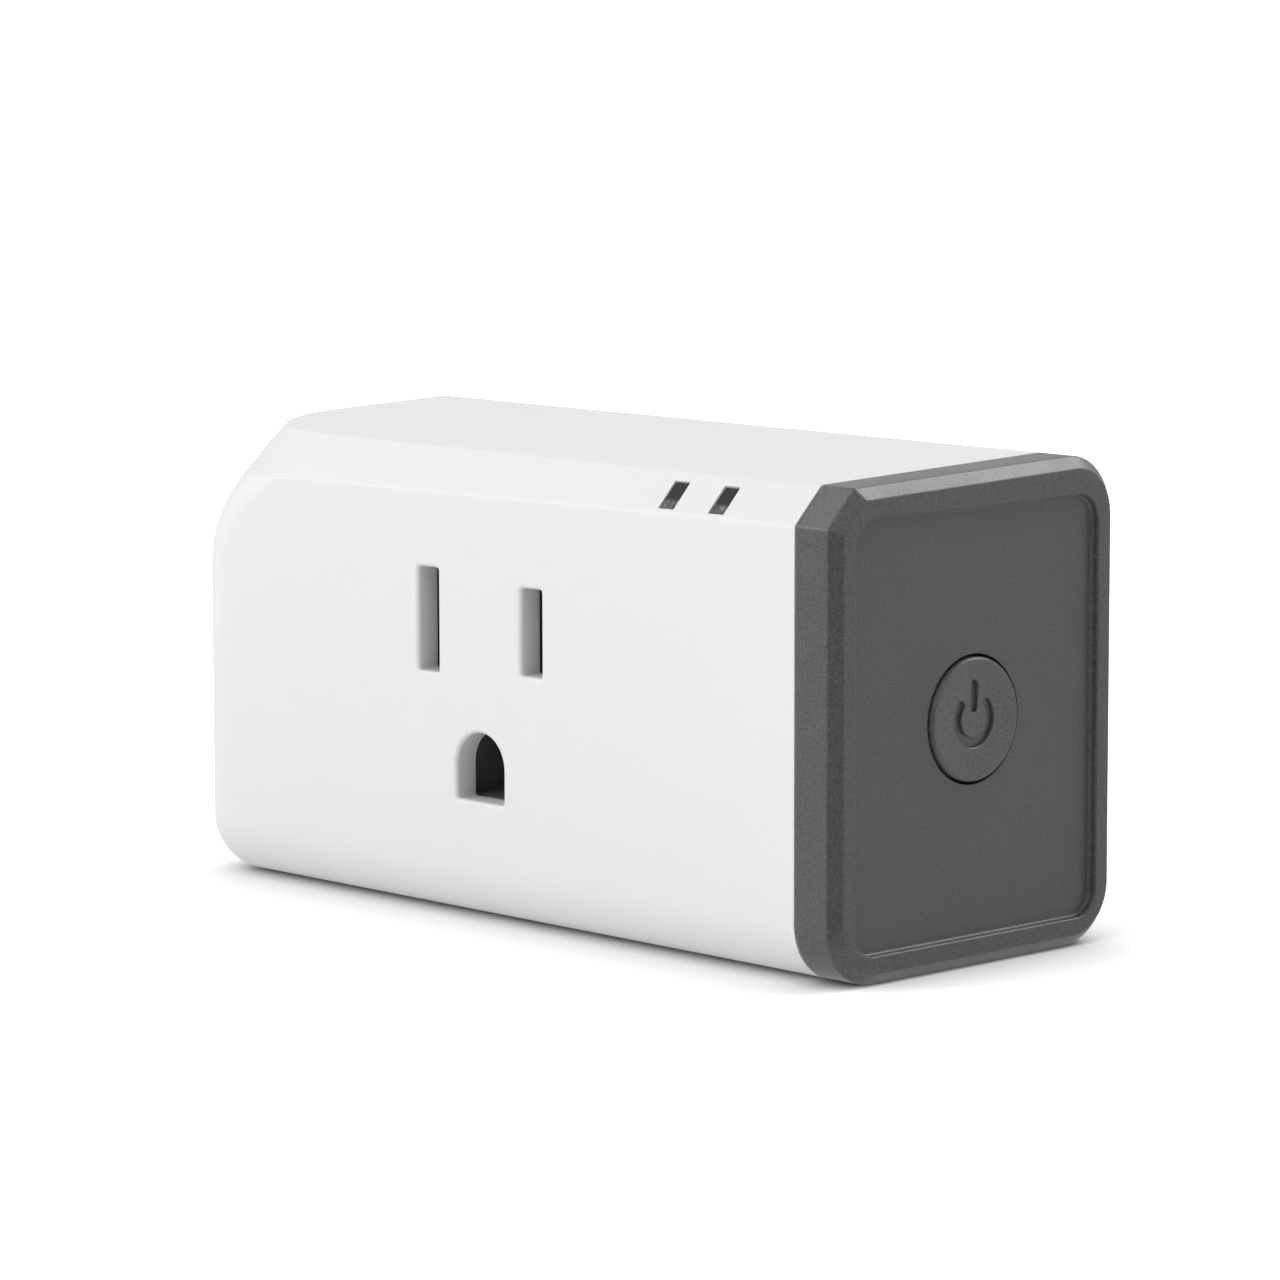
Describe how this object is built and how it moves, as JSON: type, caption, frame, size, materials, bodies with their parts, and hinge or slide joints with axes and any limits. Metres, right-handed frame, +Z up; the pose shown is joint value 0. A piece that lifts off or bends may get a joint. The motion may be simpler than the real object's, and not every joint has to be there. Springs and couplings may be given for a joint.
{
  "type": "smart plug",
  "caption": "Grounded plug-in smart outlet with a long white housing, one socket face, rear prongs and a dark end cap that carries a round push button.",
  "frame": {"origin": "centre of the housing's bottom face, midway along its length and between its socket face and its back", "axes": "+X along the plug towards the end cap with the button, -Y out of the socket face, +Y along the prongs, +Z up"},
  "size_m": [0.0794, 0.0536, 0.0403],
  "materials": {
    "white_plastic": "fine matte moulded white",
    "grey_plastic": "fine-grained dark grey",
    "black_plastic": "moulded black",
    "smoky_plastic": "smoky light pipe",
    "brass_strip": "stamped strip",
    "nickel_plate": "nickel plated",
    "bare_steel": "stamped steel",
    "copper": "copper and enamelled wire",
    "circuit_board": "glass-fibre board with green mask",
    "ferrite": "sintered ferrite",
    "blue_resin": "blue case",
    "yellow_resin": "yellow case and tape",
    "dark_sleeve": "shrink sleeve over a can",
    "led_lens": "diffuse lens"
  },
  "bodies": {
    "housing": {"bridge_rectifier": "black_plastic", "bulk_capacitor_1": "dark_sleeve", "bulk_capacitor_2": "dark_sleeve", "button_pcb": "circuit_board", "control_pcb": "circuit_board", "cover_screw_1": "bare_steel", "cover_screw_2": "bare_steel", "cover_screw_3": "bare_steel", "cover_screw_4": "bare_steel", "end_cap": "grey_plastic", "front_housing": "white_plastic", "fuse": "black_plastic", "ground_contact": "brass_strip", "ground_pin": "nickel_plate", "header_strip": "black_plastic", "light_pipe_left": "smoky_plastic", "light_pipe_right": "smoky_plastic", "line_blade": "nickel_plate", "line_contact": "brass_strip", "main_pcb": "circuit_board", "neutral_blade": "nickel_plate", "neutral_contact": "brass_strip", "output_capacitor": "dark_sleeve", "pcb_screw_1": "bare_steel", "pcb_screw_2": "bare_steel", "rear_cover": "white_plastic", "receptacle_holder": "black_plastic", "relay_base": "black_plastic", "relay_bobbin": "black_plastic", "relay_coil": "copper", "relay_common_terminal": "copper", "relay_core": "bare_steel", "relay_cover": "blue_resin", "relay_fixed_contact": "copper", "relay_yoke": "bare_steel", "status_led_left": "led_lens", "status_led_right": "led_lens", "tact_base": "black_plastic", "tact_cover": "bare_steel", "transformer_bobbin": "black_plastic", "transformer_core": "ferrite", "transformer_winding": "yellow_resin", "varistor": "blue_resin", "wifi_module_board": "circuit_board", "wifi_shield": "bare_steel", "x_capacitor": "yellow_resin"},
    "button": {"power_button": "grey_plastic"},
    "switch_plunger": {"tact_plunger": "black_plastic", "tact_dome": "bare_steel"},
    "relay_arm": {"relay_armature": "bare_steel", "relay_moving_spring": "copper"}
  },
  "joints": [
    {"name": "button_press", "type": "slide", "parent": "housing", "child": "button", "axis": [-1, 0, 0], "range_m": [0, 0.0003], "stiffness_N_per_m": 4000},
    {"name": "switch_press", "type": "slide", "parent": "housing", "child": "switch_plunger", "axis": [-1, 0, 0], "range_m": [0, 0.0003]},
    {"name": "relay_pull_in", "type": "hinge", "parent": "housing", "child": "relay_arm", "pos_m": [-0.028, -0.0062, 0.0165], "axis": [-1, 0, 0], "range_deg": [0, 3.5], "stiffness_Nm_per_rad": 0.05}
  ],
  "couplings": [
    {"joint": "switch_press", "follows": "button_press", "ratio": 1}
  ]
}
